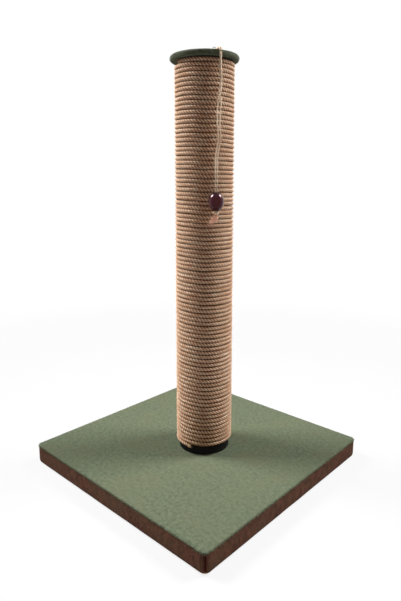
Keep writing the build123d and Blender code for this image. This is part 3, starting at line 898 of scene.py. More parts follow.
@dataclass
class PaddedBase:
    """The square base: plush sheet, felt band, its corner seam and the lining below.

    Attributes:
        side: side of the square.
        corner: radius of its upright corners.
        top: height of the plush.
        hem_bottom: height of the hem's underside.
        hem_width: width of the hem.
        cells: squares of the sheet's mesh along a side.
        seam_gap: gap between the band's two ends.
        fringe: fibres along the top edge.
        band_height: height of the band up the side, without its hem; not used.
        band_thick: thickness of the felt.
        band_steps: points of the band along each side.
        lining_gap: gap between the hem and the lining.
        lining_side: side of the lining sheet; not used.
        lining_thick: thickness of the lining.
        stitches: stitches of the corner seam.
    """

    side: float = 0.350
    corner: float = 0.008
    top: float = 0.030
    hem_bottom: float = 0.0018
    hem_width: float = 0.018
    cells: int = 150
    seam_gap: float = 0.0006
    fringe: int = 9000
    band_height: float = 0.027
    band_thick: float = 0.0010
    band_steps: int = 130
    lining_gap: float = 0.001
    lining_side: float = 0.312
    lining_thick: float = 0.0004
    stitches: int = 9

    creases = (
        ((-0.0261, -0.1094), (0.0272, -0.0919), 0.00028),
        ((0.0272, -0.0919), (0.1285, -0.0702), 0.00032),
        ((0.0986, -0.0484), (0.1660, 0.0140), 0.00026),
        ((-0.1300, 0.0300), (-0.0700, 0.0900), 0.0002),
    )

    def outline(self, share_x: float, share_y: float, inset: float) -> tuple[float, float, float, float]:
        """Point and outward direction on the rounded square, a distance in from its side.

        Args:
            share_x: place on the unit square's rim, across.
            share_y: place on the unit square's rim, along.
            inset: distance in from the base's side.

        Returns:
            The point's two coordinates and its outward direction's two.
        """
        half = self.side / 2 - inset
        radius = max(self.corner - inset, 0.0)
        flip = abs(share_y) > abs(share_x)
        main, other = (share_y, share_x) if flip else (share_x, share_y)
        straight = half - radius
        way = abs(other) / max(abs(main), 1e-9) * (straight + radius * math.pi / 4)
        if way <= straight or radius == 0.0:
            across, beside, out, aside = half, min(way, half), 1.0, 0.0
        else:
            turn = (way - straight) / radius
            out, aside = math.cos(turn), math.sin(turn)
            across, beside = straight + radius * out, straight + radius * aside
        sign_main, sign_other = math.copysign(1, main), math.copysign(1, other)
        pair, way_out = (across * sign_main, beside * sign_other), (out * sign_main, aside * sign_other)
        if flip:
            return pair[1], pair[0], way_out[1], way_out[0]
        return pair[0], pair[1], way_out[0], way_out[1]

    def rim(self, count: int) -> list[tuple[float, float]]:
        """Places round the unit square's rim, anticlockwise from the front corner."""
        places = []
        for corner in range(4):
            for step in range(count):
                share = 2 * step / count - 1
                places.append(((1, share), (-share, 1), (-1, -share), (share, -1))[corner])
        return places

    def crease(self, x: float, y: float) -> float:
        """How far the plush sinks at a point, in its creases."""
        sink = 0.0
        for start, end, depth in self.creases:
            first, last, here = Vector(start), Vector(end), Vector((x, y))
            span = last - first
            share = min(max((here - first).dot(span) / span.length_squared, 0.0), 1.0)
            wander = 0.0015 * noise.noise(Vector((x * 40, y * 40, 3.0)))
            away = (here - first - span * share).length + wander
            fade = math.sin(math.pi * min(max(share, 0.04), 0.96))
            valley = math.exp(-((away / 0.0022) ** 2))
            shoulder = 0.6 * math.exp(-(((away - 0.004) / 0.003) ** 2))
            sink += depth * fade * (valley - shoulder)
        return sink

    def loft(self, x: float, y: float) -> float:
        """Height of the plush above its mean at a point."""
        here = Vector((x, y, 0.0))
        return 0.00035 * noise.noise(here * 14) + 0.00012 * noise.noise(here * 70) - self.crease(x, y)

    def sheet(self, finish: bpy.types.Material) -> bpy.types.Object:
        """Makes the plush sheet, flat over the panel and rounded down at its sides."""
        points = []
        count = self.cells
        roll = 0.0022
        for row in range(count + 1):
            for column in range(count + 1):
                across, along = 2 * column / count - 1, 2 * row / count - 1
                level = max(abs(across), abs(along))
                inset = roll + (1 - level) * (self.side / 2 - roll)
                if level == 0.0:
                    x, y = 0.0, 0.0
                else:
                    x, y, _, _ = self.outline(across, along, inset)
                points.append((x, y, self.top + self.loft(x, y)))
        order = (
            [(count, row) for row in range(count)]
            + [(column, count) for column in range(count, 0, -1)]
            + [(0, row) for row in range(count, 0, -1)]
            + [(column, 0) for column in range(count)]
        )
        faces = grid_faces(count + 1, count + 1, False).tolist()
        previous = [row * (count + 1) + column for column, row in order]
        profile = (
            (0.0011, -0.00015), (0.0003, -0.0006), (-0.0002, -0.0012), (0.0, -0.0019), (0.0016, -0.002),
        )
        for inset, drop in profile:
            start = len(points)
            for column, row in order:
                across, along = 2 * column / count - 1, 2 * row / count - 1
                x, y, _, _ = self.outline(across, along, max(inset, 0.0))
                out = 1.0 + min(inset, 0.0) / -(self.side / 2)
                swell = 0.0002 * noise.noise(Vector((x * 60, y * 60, drop * 900)))
                points.append((x * out + swell, y * out + swell, self.top + drop + self.loft(x, y) * 0.4))
            ring = list(range(start, start + len(order)))
            for number, here in enumerate(ring):
                after = (number + 1) % len(ring)
                faces.append([previous[number], here, ring[after], previous[after]])
            previous = ring
        piece = make_piece("plush_sheet", np.array(points), faces, finish)
        return finished(piece, Body.POST, "green_plush", "top_cover")

    def band(self, finish: bpy.types.Material) -> bpy.types.Object:
        """Makes the felt band, its lower edge turned under and its ends folded in at the seam."""
        profile = [
            (0.0014, 0.0279), (0.0005, 0.0281), (0.0001, 0.0274), (0.0, 0.0255), (0.0, 0.0220), (0.0, 0.0180),
            (0.0, 0.0140), (0.0, 0.0100), (0.0001, 0.0070), (0.0004, 0.0046), (0.0012, 0.0029),
            (0.0026, 0.0020), (0.0050, self.hem_bottom), (0.0100, self.hem_bottom),
            (self.hem_width, self.hem_bottom), (self.hem_width, 0.0029),
        ]
        places = self.rim(self.band_steps)
        places.append(places[0])
        columns = len(places)
        points = np.empty((columns, len(profile), 3))
        for number, (across, along) in enumerate(places):
            near = min(number, columns - 1 - number)
            for level, (inset, height) in enumerate(profile):
                x, y, out_x, out_y = self.outline(across, along, inset)
                sway = 0.00025 * noise.noise(Vector((x * 35, y * 35, height * 60)))
                tuck = 0.0009 * math.exp(-((near / 1.3) ** 2)) if inset < 0.004 else 0.0
                bend = -0.0002 + sway * (1.0 if inset < 0.004 else 0.2) - tuck
                ends = self.seam_gap / 2 * (1 if number == 0 else -1 if number == columns - 1 else 0)
                points[number, level] = (x + out_x * bend - ends * 0.7, y + out_y * bend + ends * 0.7, height)
        faces = grid_faces(columns, len(profile), False)
        piece = make_piece("felt_band", points.reshape(-1, 3), faces, finish)
        thick = piece.modifiers.new("felt_thickness", "SOLIDIFY")
        thick.thickness = self.band_thick
        thick.offset = -1.0
        return finished(piece, Body.POST, "brown_felt", "edge_band")

    def seam(self, finish: bpy.types.Material) -> bpy.types.Object:
        """Makes the thread that sews the band's two ends together at the front corner."""
        reach = self.side / 2 - self.corner * (1 - math.cos(math.pi / 4)) - 0.0004
        bottom, height = 0.0052, 0.0205
        count = self.stitches * 12
        points = np.empty((count + 1, 3))
        for step in range(count + 1):
            share = step / count
            swing = math.sin(share * self.stitches * 2 * math.pi)
            out = -0.00025 + 0.0004 * abs(math.cos(share * self.stitches * 2 * math.pi))
            points[step] = (
                reach + out * 0.7 + 0.0016 * swing * 0.7,
                -reach - out * 0.7 + 0.0016 * swing * 0.7,
                bottom + height * share,
            )
        line = Line.through(points, (0.7, -0.7, 0.0))
        thread = Plies(2, 0.00042, 0.002, Lay.RIGHT, 0.3, 3).lay_on("seam_thread", line, finish)
        return finished(thread, Body.POST, "brown_felt")

    def edge_fibres(
        self, name: str, count: int, height: float, reach: float, finish: bpy.types.Material, seed: int
    ) -> bpy.types.Object:
        """Makes the loose pile along the top edge.

        Args:
            name: the piece's name.
            count: number of fibres.
            height: height of their roots.
            reach: how long they are.
            finish: their material.
            seed: seed of their spread.

        Returns:
            The new object.
        """
        random = np.random.default_rng(seed)
        roots, paths = np.empty((count, 3)), np.empty((count, 4, 3))
        for number in range(count):
            corner, share = random.integers(4), random.uniform(-1, 1)
            across, along = ((1, share), (-share, 1), (-1, -share), (share, -1))[corner]
            inset = abs(random.normal(0, 0.0007))
            x, y, out_x, out_y = self.outline(across, along, inset)
            tall = height + random.normal(0, 0.0004) - inset * 0.2
            roots[number] = (x, y, min(tall, self.top))
            length = reach * random.uniform(0.4, 1.0)
            outward = random.uniform(0.15, 0.6)
            lift = random.uniform(-1.0, 0.35)
            sideways = random.normal(0, 0.5)
            for step in range(4):
                share = step / 3
                away = length * share * outward
                drift = length * share * sideways * 0.6
                drop = length * (lift * share - 0.45 * share**2)
                paths[number, step] = (out_x * away - out_y * drift, out_y * away + out_x * drift, drop)
        return fibre_mesh(name, roots, paths, random.uniform(0.00012, 0.00024, count), finish)

    def under(self, finish: bpy.types.Material) -> bpy.types.Object:
        """Makes the lining, drawn flat under the panel and puckered a little at its rim."""
        half = self.side / 2 - self.hem_width - self.lining_gap
        rings = np.concatenate([np.linspace(0.0175, half * 0.97, 12), [half]])
        columns = 96
        points = []
        for number, ring in enumerate(rings):
            for column in range(columns):
                angle = 2 * math.pi * column / columns
                share = number / (len(rings) - 1)
                square = half / max(abs(math.cos(angle)), abs(math.sin(angle)))
                away = ring * (1 - share) + square * share * ring / half
                ripple = 0.00025 * math.sin(column * 1.9 + ring * 60) * share
                middle = np.array(POST_AXIS) * (1 - share)
                points.append(
                    (middle[0] + away * math.cos(angle), middle[1] + away * math.sin(angle), 0.0025 + ripple)
                )
        piece = make_piece("lining_sheet", np.array(points), grid_faces(len(rings), columns, True), finish)
        thick = piece.modifiers.new("cloth_thickness", "SOLIDIFY")
        thick.thickness = self.lining_thick
        return finished(piece, Body.POST, "lining", "underside_lining")

    def build(self, plush: bpy.types.Material, felt: bpy.types.Material) -> None:
        """Makes the base's pieces.

        Args:
            plush: material of the sheet.
            felt: material of the band.
        """
        sheet = self.sheet(plush)
        band = self.band(felt)
        seam = self.seam(THREAD.build())
        fibres = self.edge_fibres("plush_edge_fibres", self.fringe, 0.0296, 0.0034, PLUSH_FIBRE.build(), 5)
        nap = self.edge_fibres("felt_edge_fibres", self.fringe // 3, 0.0276, 0.0022, FELT_FIBRE.build(), 6)
        finished(fibres, Body.POST, "green_plush")
        finished(nap, Body.POST, "brown_felt")
        lining = self.under(LINING.build())


@dataclass
class RopeWinding:
    """The sisal rope, one length wound round the tube from the foot to the disc.

    Attributes:
        axis: the post's axis.
        start: height of the first turn's lower side.
        pitch: distance from turn to turn.
        turns: number of turns.
        wind: radius of the rope's centre line.
        thick: the rope's diameter.
        start_angle: where the rope starts round the post, in degrees.
        lay_length: length in which a strand goes round the rope once.
        step: distance between the mesh's sections.
        hairs: loose fibres on the winding.
        spare: extra rope past the counted turns, at each end.
        lowest: height that no loose fibre goes below.
        highest: height that no loose fibre goes above, under the disc's cover.
        brush: fibres in each frayed end.
    """

    axis: tuple[float, float] = POST_AXIS
    start: float = 0.040
    pitch: float = 0.006035
    turns: float = 90.0
    wind: float = 0.03875
    thick: float = 0.0061
    start_angle: float = -92.0
    lay_length: float = 0.0132
    step: float = 0.0015
    hairs: int = 2600
    spare: float = 0.005
    lowest: float = 0.0385
    highest: float = 0.5888
    brush: int = 220

    def helix(self) -> Line:
        """The rope's line, with its small unevenness."""
        around = 2 * math.pi * self.wind
        spare = self.spare / around
        count = int((self.turns + 2 * spare) * around / self.step)
        turn = np.linspace(-spare, self.turns + spare, count)
        angle = np.radians(self.start_angle - 360 * turn)
        length = (turn - turn[0]) * math.hypot(around, self.pitch)
        wander = np.zeros(count)
        random = np.random.default_rng(11)
        for wave, size in ((0.61, 0.00022), (1.0, 0.00018), (2.3, 0.00012), (4.7, 0.00007)):
            phase = 2 * math.pi * wave * turn * (1 + 0.01 * random.random())
            wander += size * np.sin(phase + random.uniform(0, 6))
        swell = 0.00012 * np.sin(2 * math.pi * 1.37 * turn + 1.0) + 0.00008 * np.sin(2 * math.pi * 5.1 * turn)
        height = self.start + (turn + 0.5) * self.pitch + wander * np.clip(1.2 - np.abs(turn / 45 - 1), 0, 1)
        outward = np.stack([np.cos(angle), np.sin(angle), np.zeros(count)], axis=1)
        middle = np.array([self.axis[0], self.axis[1], 0.0])
        points = middle + outward * (self.wind + swell)[:, None]
        points[:, 2] = height
        along = unit(np.gradient(points, axis=0))
        third = unit(np.cross(along, outward))
        side = np.cross(third, along)
        return Line(points, along, side, third, length)

    def loose_fibres(self, line: Line, finish: bpy.types.Material) -> bpy.types.Object:
        """Makes the stray fibres that stand off the winding."""
        random = np.random.default_rng(23)
        picked = random.integers(0, len(line.points), self.hairs)
        tilt = random.normal(0, 0.8, self.hairs)
        outward = line.side[picked] * np.cos(tilt)[:, None] + line.third[picked] * np.sin(tilt)[:, None]
        roots = line.points[picked] + outward * self.thick * 0.46
        length = random.uniform(0.003, 0.012, self.hairs)
        sign = random.choice([-1.0, 1.0], self.hairs)
        lift = random.uniform(0.05, 0.30, self.hairs)
        rise = random.normal(0, 0.22, self.hairs)
        paths = np.empty((self.hairs, 5, 3))
        for step in range(5):
            share = step / 4
            along = line.along[picked] * (length * sign * share)[:, None]
            away = outward * (length * lift * share * (1 - 0.35 * share))[:, None]
            up = line.third[picked] * (length * rise * share**1.5)[:, None]
            round_off = -line.side[picked] * ((length * share) ** 2 / (2 * self.wind))[:, None]
            paths[:, step] = along + away + up + round_off
        low = roots[:, 2:3]
        paths[..., 2] = np.clip(paths[..., 2] + low, self.lowest, self.highest) - low
        return fibre_mesh("rope_hairs", roots, paths, random.uniform(0.00009, 0.0002, self.hairs), finish)

    def frayed_end(self, line: Line, finish: bpy.types.Material, lower: bool) -> bpy.types.Object:
        """Makes the brush of fibres at one end of the rope.

        Args:
            line: the rope's line.
            finish: the fibres' material.
            lower: whether it is the lower end.

        Returns:
            The new object.
        """
        random = np.random.default_rng(31 if lower else 32)
        count = self.brush
        end = 0 if lower else len(line.points) - 1
        out_way = -line.along[end] if lower else line.along[end]
        angle, away = random.uniform(0, 2 * math.pi, count), self.thick / 2 * np.sqrt(random.random(count))
        flat = line.side[end] * np.cos(angle)[:, None] + line.third[end] * np.sin(angle)[:, None]
        roots = line.points[end] + flat * away[:, None] * 0.9
        length = random.uniform(0.003, 0.0085, count)
        paths = np.empty((count, 4, 3))
        hug = line.side[end] * (length**2 / (2 * self.wind))[:, None]
        for step in range(4):
            share = step / 3
            spread = flat * (length * share * random.uniform(0.1, 0.4, count))[:, None]
            spread[:, 2] = np.clip(spread[:, 2], -0.0006, 0.0003)
            paths[:, step] = out_way * (length * share)[:, None] + spread - hug * share**2
        name = "rope_lower_fray" if lower else "rope_upper_fray"
        return fibre_mesh(name, roots, paths, random.uniform(0.00014, 0.0003, count), finish)

    def build(self) -> None:
        """Makes the rope, its loose fibres and its frayed ends."""
        line = self.helix()
        plies = Plies(3, self.thick / 2, self.lay_length, Lay.RIGHT, 0.42, 5)
        # The wound rope gets painted shade between its turns and between its plies.
        rope = plies.lay_on("wound_rope", line, SISAL.build(), shade_between_turns=True)
        finished(rope, Body.POST, "sisal_rope", "rope")
        fibre = SISAL_FIBRE.build()
        finished(self.loose_fibres(line, fibre), Body.POST, "sisal_rope")
        for lower in (True, False):
            finished(self.frayed_end(line, fibre, lower), Body.POST, "sisal_rope")


@dataclass
class CoveredDisc:
    """The disc on top, in fabric that is gathered underneath.

    Attributes:
        axis: the post's axis.
        bottom: height of its underside.
        top: height of its top.
        radius: its radius.
        opening: radius of the gathered opening.
        gathers: number of pleats.
        columns: points round the mesh.
        turned_under: fabric past the radius, down the rim and under to the opening; not used.
        fibres: hairs of the rim's pile.
    """

    axis: tuple[float, float] = POST_AXIS
    bottom: float = 0.5892
    top: float = 0.597
    radius: float = 0.0472
    opening: float = 0.028
    gathers: int = 46
    columns: int = 368
    turned_under: float = 0.027
    fibres: int = 7000

    def cover(self, finish: bpy.types.Material) -> bpy.types.Object:
        """Makes the fabric cover."""
        low, high, wide = self.bottom, self.top, self.radius
        profile = [
            (self.opening, low + 0.0016, 0.5), (self.opening + 0.0004, low + 0.0003, 1.0),
            (0.032, low, 1.0), (0.037, low, 1.0), (0.041, low, 0.9), (0.0435, low, 0.8),
            (0.0455, low + 0.0003, 0.6), (wide - 0.0007, low + 0.0010, 0.35),
            (wide - 0.0002, low + 0.0020, 0.2), (wide, low + 0.0036, 0.1),
            (wide - 0.0003, high - 0.0024, 0.0), (wide - 0.0009, high - 0.0012, 0.0),
            (0.0452, high - 0.0004, 0.0),
            *((away, high, 0.0) for away in (0.0430, 0.0380, 0.0300, 0.0200, 0.0100, 0.0030)),
        ]
        random = np.random.default_rng(41)
        deep = random.uniform(0.4, 1.0, self.gathers)
        points = np.empty((len(profile), self.columns, 3))
        for row, (away, height, fold) in enumerate(profile):
            for column in range(self.columns):
                angle = 2 * math.pi * column / self.columns
                place = column / self.columns * self.gathers + 0.35 * math.sin(angle * 5)
                size = deep[int(place) % self.gathers]
                pleat = abs(math.sin(math.pi * place)) ** 0.7 * size * fold
                here = Vector((away * math.cos(angle), away * math.sin(angle), height))
                sway = 0.0003 * noise.noise(here * 45) + 0.00012 * noise.noise(here * 190)
                inward = 0.0006 * pleat if height > low + 0.0008 else 0.0
                lift = 0.0009 * pleat * (1.0 if row < 7 else 0.0)
                reach = away - inward + (sway if row > 5 and away > 0.04 else 0.0)
                settle = sway * 0.8 if height >= high - 0.0006 else 0.0
                points[row, column] = (
                    self.axis[0] + reach * math.cos(angle), self.axis[1] + reach * math.sin(angle),
                    height + lift * 0.4 + min(settle, 0.0002),
                )
        faces = grid_faces(len(profile), self.columns, True).tolist()
        faces.append(list(range((len(profile) - 1) * self.columns, len(profile) * self.columns)))
        piece = make_piece("disc_fabric_cover", points.reshape(-1, 3), faces, finish)
        return finished(piece, Body.POST, "disc_fabric", "disc_cover")

    def rim_pile(self, finish: bpy.types.Material) -> bpy.types.Object:
        """Makes the short pile that stands off the rim."""
        random = np.random.default_rng(43)
        count = self.fibres
        angle = random.uniform(0, 2 * math.pi, count)
        tilt = random.uniform(-1.1, 1.3, count)
        out = np.stack([np.cos(angle), np.sin(angle), np.zeros(count)], axis=1)
        way = out * np.cos(tilt)[:, None] + UPWARD * np.sin(tilt)[:, None]
        middle = (self.bottom + self.top) / 2
        roots = np.array([self.axis[0], self.axis[1], middle]) + out * (self.radius - 0.0036)
        roots = roots + way * 0.0034
        length = random.uniform(0.0005, 0.0014, count)
        round_way = np.stack([-np.sin(angle), np.cos(angle), np.zeros(count)], axis=1)
        drift = round_way * random.normal(0, 0.5, (count, 1))
        paths = np.empty((count, 3, 3))
        for step in range(3):
            share = step / 2
            outward = (way + drift * share) * (length * share)[:, None]
            paths[:, step] = outward - UPWARD * (length * share**2 * 0.2)[:, None]
        return fibre_mesh("disc_rim_pile", roots, paths, random.uniform(0.00012, 0.0002, count), finish)

    def build(self) -> None:
        cover = self.cover(DISC_PILE.build())
        pile = finished(self.rim_pile(DISC_FIBRE.build()), Body.POST, "disc_fabric")


@dataclass
class HangingToy:
    """The bead toy: twine over the disc's edge, its knots, two strands, a bead and frayed ends.

    Attributes:
        axis: the post's axis.
        angle: direction of the toy from the post, in degrees.
        side: how far the twine lies to the side.
        twine: diameter of the doubled twine.
        strand: diameter of one strand.
        lay_height: height of the twine's line on the disc.
        bend_out: distance from the axis where it turns down.
        bend_radius: radius of that turn.
        anchor_out: distance from the axis of its end on the disc.
        bead_out: distance of the bead's axis from the post's.
        bead_side: how far the bead hangs to the side.
        bead_bottom: height of its lower end.
        bead_height: its height.
        bead_radius: its largest radius.
        bead_end: radius of its flat ends.
        bore: radius of its bore.
        parting: the upper knot's middle, where the strands part.
        stop_height: height of the lower knot's middle.
        pair_lay: length in which the two strands go once round each other.
        hairy: shares of each stretch of twine between which stray fibres stand.
        hair_reach: how long those fibres are.
        brush: fibres in each frayed end.
    """

    axis: tuple[float, float] = POST_AXIS
    angle: float = -23.5
    side: float = 0.001
    twine: float = 0.0032
    strand: float = 0.0019
    lay_height: float = 0.5989
    bend_out: float = 0.0455
    bend_radius: float = 0.0044
    anchor_out: float = 0.029
    bead_out: float = 0.0523
    bead_side: float = -0.006
    bead_bottom: float = 0.3895
    bead_height: float = 0.0235
    bead_radius: float = 0.0105
    bead_end: float = 0.0045
    bore: float = 0.00275
    parting: Point = (0.05087, -0.0010, 0.53175)
    stop_height: float = 0.3867
    pair_lay: float = 0.013
    hairy: tuple[float, float] = (0.25, 0.55)
    hair_reach: float = 0.007
    brush: int = 190

    upper_route = (
        (0.0499, 0.0010, 0.5926), (0.0500, -0.0003, 0.5780), (0.0502, 0.0018, 0.5620),
        (0.0505, 0.0002, 0.5475), (0.05087, -0.0010, 0.53512),
    )
    left_route = (
        (0.05087, -0.0034, 0.5285), (0.05126, -0.0054, 0.5070), (0.05168, -0.0020, 0.4840),
        (0.0520, -0.0066, 0.4665), (0.0523, -0.0075, 0.4500), (0.0523, -0.0075, 0.3893),
    )
    right_route = (
        (0.05087, 0.0014, 0.5285), (0.0513, -0.0016, 0.5050), (0.05168, 0.0012, 0.4840),
        (0.05202, -0.0039, 0.4655), (0.0523, -0.0045, 0.4500), (0.0523, -0.0045, 0.3893),
    )

    def at(self, out: float, side: float, height: float) -> Point:
        """Point by its distance from the post's axis, its side and its height."""
        turn = math.radians(self.angle)
        return (
            self.axis[0] + out * math.cos(turn) - side * math.sin(turn),
            self.axis[1] + out * math.sin(turn) + side * math.cos(turn),
            height,
        )

    def directions(self) -> tuple[np.ndarray, np.ndarray]:
        """Directions away from the post and to the toy's side."""
        turn = math.radians(self.angle)
        away = np.array([math.cos(turn), math.sin(turn), 0.0])
        return away, np.array([-away[1], away[0], 0.0])

    def smooth_line(self, name: str, route: tuple[Point, ...]) -> np.ndarray:
        """Points of the smooth line whose control points are a route's corners.

        Args:
            name: name of the line.
            route: corners, each as out, side and height.

        Returns:
            The line's points.
        """
        data = bpy.data.curves.new(name, "CURVE")
        data.dimensions = "3D"
        data.resolution_u = 24
        spline = data.splines.new("NURBS")
        spline.points.add(len(route) - 1)
        for point, corner in zip(spline.points, route):
            point.co = (*self.at(*corner), 1.0)
        spline.order_u = 3
        spline.use_endpoint_u = True
        holder = bpy.data.objects.new(name, data)
        mesh = bpy.data.meshes.new_from_object(holder)
        points = np.array([vertex.co[:] for vertex in mesh.vertices])
        bpy.data.objects.remove(holder)
        bpy.data.curves.remove(data)
        bpy.data.meshes.remove(mesh)
        return points

    def on_disc(self, finish: bpy.types.Material) -> None:
        """Makes the twine that lies on the disc and the bend over its edge."""
        steps = np.linspace(self.anchor_out, self.bend_out - 0.0001, 24)
        flat = np.array([self.at(out, self.side, self.lay_height) for out in steps])
        plies = Plies(2, self.twine / 2, self.pair_lay, Lay.RIGHT, 0.34, 9)
        line = Line.through(flat, (0.0, 0.0, 1.0))
        finished(plies.lay_on("twine_on_disc", line, finish), Body.POST, "twine", "twine_over_disc")
        arc = []
        centre = self.lay_height - self.bend_radius
        for step in range(25):
            turn = math.pi / 2 * (1 - step / 24)
            out = self.bend_out + self.bend_radius * math.cos(turn)
            arc.append(self.at(out, self.side, centre + self.bend_radius * math.sin(turn)))
        line = Line.through(np.array(arc), (0.0, 0.0, 1.0))
        finished(plies.lay_on("twine_over_edge", line, finish), Body.BEND, "twine", "twine_bend")

    def knot(
        self, name: str, centre: Point, wide: float, tall: float, finish: bpy.types.Material
    ) -> bpy.types.Object:
        """Makes a knot as one strand that goes twice round and crosses itself three times.

        Args:
            name: the piece's name.
            centre: the knot's middle.
            wide: its diameter.
            tall: its height.
            finish: its material.

        Returns:
            The new object.
        """
        steps = 220
        reach, thin = wide / 2 - self.strand / 2, self.strand / 2
        points = np.empty((steps, 3))
        for step in range(steps):
            turn = 2 * math.pi * step / steps
            away = reach * (0.52 + 0.48 * math.cos(3 * turn + 0.4))
            points[step] = (
                centre[0] + away * math.cos(2 * turn),
                centre[1] + away * math.sin(2 * turn),
                centre[2] + (tall / 2 - thin) * math.sin(3 * turn + 0.4),
            )
        line = Line.through(points, (0.0, 0.0, 1.0))
        return Plies(2, thin, 0.006, Lay.LEFT, 0.3, 5).lay_on(name, line, finish)

    def hairs(
        self,
        name: str,
        points: np.ndarray,
        count: int,
        thick: float,
        finish: bpy.types.Material,
        seed: int,
    ) -> bpy.types.Object:
        """Makes stray fibres round a stretch of twine, clear of the bend above and the bead's slide below.

        Args:
            name: the piece's name.
            points: the twine's line.
            count: number of fibres.
            thick: the twine's diameter.
            finish: their material.
            seed: seed of their spread.

        Returns:
            The new object.
        """
        random = np.random.default_rng(seed)
        first, last = self.hairy
        picked = random.integers(int(len(points) * first), int(len(points) * last), count)
        along = unit(points[picked + 1] - points[picked - 1])
        spin = unit(random.normal(0, 1, (count, 3)))
        across = unit(np.cross(along, spin))
        away, _ = self.directions()
        inward = np.clip(across @ away, -1, 0)
        across = unit(across - away * inward[:, None])
        roots = points[picked] + across * thick * 0.4
        length = random.uniform(0.4, 1.0, count) * self.hair_reach
        sign = random.choice([-1.0, 1.0], count)
        paths = np.empty((count, 5, 3))
        for step in range(5):
            share = step / 4
            forward = along * (length * sign * share)[:, None]
            out = across * (length * share**1.3 * random.uniform(0.15, 0.5))[:, None]
            paths[:, step] = forward + out - UPWARD * (length * 0.2 * share**2)[:, None]
        return fibre_mesh(name, roots, paths, random.uniform(0.00008, 0.00016, count), finish)

    def bead(self, finish: bpy.types.Material) -> bpy.types.Object:
        """Makes the long round bead with its bore and softened ends."""
        centre = self.at(self.bead_out, self.bead_side, self.bead_bottom + self.bead_height / 2)
        end_turn = math.acos(self.bead_end / self.bead_radius)
        half = self.bead_height / 2
        mouth = ((self.bore, half - 0.0012), (self.bore + 0.0002, half - 0.0002), (self.bore + 0.0008, half))
        profile = [(away, -height) for away, height in mouth]
        steps = 40
        for step in range(steps + 1):
            turn = end_turn * (2 * step / steps - 1)
            height = half * math.sin(turn) / math.sin(end_turn)
            ease = min(1.0, (1 - abs(height) / half) * 14 + 0.72)
            profile.append((self.bead_radius * math.cos(turn) * ease, height))
        profile.extend(reversed(mouth))
        columns = 72
        points = np.empty((len(profile), columns, 3))
        for row, (away, height) in enumerate(profile):
            for column in range(columns):
                turn = 2 * math.pi * column / columns
                points[row, column] = (
                    centre[0] + away * math.cos(turn), centre[1] + away * math.sin(turn), centre[2] + height
                )
        rows = grid_faces(len(profile) + 1, columns, True) % (len(profile) * columns)
        return make_piece("glossy_bead", points.reshape(-1, 3), rows, finish)

    def tuft(
        self,
        name: str,
        start: tuple[float, float],
        end: tuple[float, float],
        seed: int,
        finish: bpy.types.Material,
    ) -> bpy.types.Object:
        """Makes one frayed end of the twine.

        Args:
            name: the piece's name.
            start: side and height where it leaves the knot.
            end: side and height of its tip.
            seed: seed of its spread.
            finish: its material.

        Returns:
            The new object.
        """
        random = np.random.default_rng(seed)
        count = self.brush
        away, side = self.directions()
        root = np.array(self.at(self.bead_out, start[0], start[1]))
        tip = np.array(self.at(self.bead_out, end[0], end[1]))
        turn, reach = random.uniform(0, 2 * math.pi, count), np.sqrt(random.random(count))
        flat = side * (np.cos(turn) * reach)[:, None] + away * (np.sin(turn) * reach * 0.6)[:, None]
        roots = root + flat * 0.0007
        fan = random.uniform(0.78, 1.0, count)
        paths = np.empty((count, 6, 3))
        curl = random.normal(0, 0.0009, (count, 3))
        for step in range(6):
            share = step / 5
            forward = (tip - root) * (fan * share)[:, None]
            spread = flat * (0.0006 + 0.0034 * share**1.4)
            wave = curl * math.sin(share * 3.0)
            paths[:, step] = forward + spread + wave * share
        return fibre_mesh(name, roots, paths, random.uniform(0.00012, 0.00028, count), finish)

    def build(self) -> None:
        """Makes the toy's pieces."""
        twine, fibre, tuft = TWINE.build(), SISAL_FIBRE.build(), TUFT_FIBRE.build()
        self.on_disc(twine)
        pair = Plies(2, self.twine / 2, self.pair_lay, Lay.RIGHT, 0.3, 9)
        one = Plies(2, self.strand / 2, 0.0055, Lay.LEFT, 0.26, 6)
        runs = (
            ("twine_pair", "twine_upper", self.upper_route, pair, self.twine, 60, 3),
            ("strand_left", "twine_left", self.left_route, one, self.strand, 90, 4),
            ("strand_right", "twine_right", self.right_route, one, self.strand, 90, 5),
        )
        knot = self.knot("pair_knot", self.at(*self.parting), 0.0076, 0.0065, twine)
        finished(knot, Body.TOY, "twine", "upper_knot")
        under_bead = self.at(self.bead_out, self.bead_side, self.stop_height)
        stop = self.knot("stop_knot", under_bead, 0.0086, 0.0052, twine)
        finished(stop, Body.TOY, "twine", "lower_knot")
        for name, node, route, plies, thick, count, seed in runs:
            points = self.smooth_line(name + "_line", route)
            piece = plies.lay_on(name, Line.through(points, (1.0, 0.0, 0.0)), twine)
            finished(piece, Body.TOY, "twine", node)
            strays = self.hairs(name + "_hairs", points, count, thick, fibre, seed)
            finished(strays, Body.TOY, "twine")
        finished(self.bead(GLAZE.build()), Body.BEAD, "bead_gloss", "bead")
        ends = (
            ("left", (-0.0072, 0.3846), (-0.0150, 0.3712), 61),
            ("right", (-0.0048, 0.3846), (-0.0085, 0.3720), 62),
        )
        for hand, start, tip, seed in ends:
            brush = self.tuft("frayed_tuft_" + hand, start, tip, seed, tuft)
            finished(brush, Body.TOY, "frayed_twine", "frayed_end_" + hand)


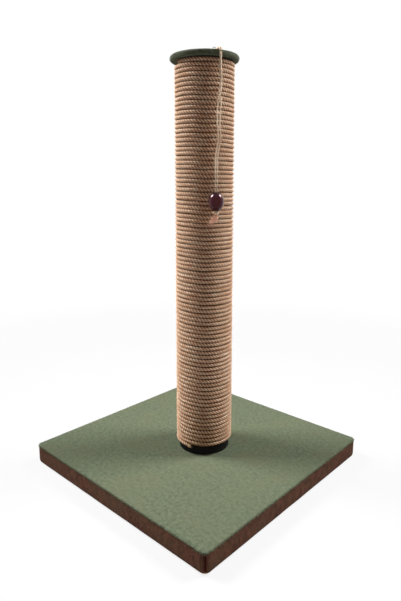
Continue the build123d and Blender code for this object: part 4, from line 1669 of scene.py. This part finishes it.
@dataclass
class HardParts:
    """The CAD nodes that stay as they are and take a finish."""

    finishes = (
        (CHIPBOARD, ("base_board",)),
        (STEEL, ("hem_staples", "post_bolt", "cap_nut", "disc_screw", "twine_staple")),
        (RUBBER, ("anti_slip_pads",)),
        (PLASTIC, ("lower_end_cap",)),
        (CARDBOARD, ("post_tube",)),
        (PLUG_WOOD, ("upper_plug", "top_disc")),
    )

    def dress(self) -> None:
        """Gives each node's object its material."""
        for finish, nodes in self.finishes:
            material = finish.build()
            for node in nodes:
                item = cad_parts[node]
                if not item.material_slots:
                    item.data.materials.append(material)
                for slot in item.material_slots:
                    slot.material = material
                log.info("%s keeps its CAD shape in the finish of %s", node, finish.name)


def main() -> None:
    """Builds the camera, the toy, the other sub-assemblies and the studio, in that order."""
    logging.basicConfig(level=logging.INFO, format="%(name)s: %(message)s")
    StudioCamera().build()
    HangingToy().build()
    RopeWinding().build()
    PaddedBase().build(PLUSH.build(), FELT.build())
    CoveredDisc().build()
    HardParts().dress()
    Studio().build()
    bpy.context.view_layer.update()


if __name__ == "__main__":
    main()
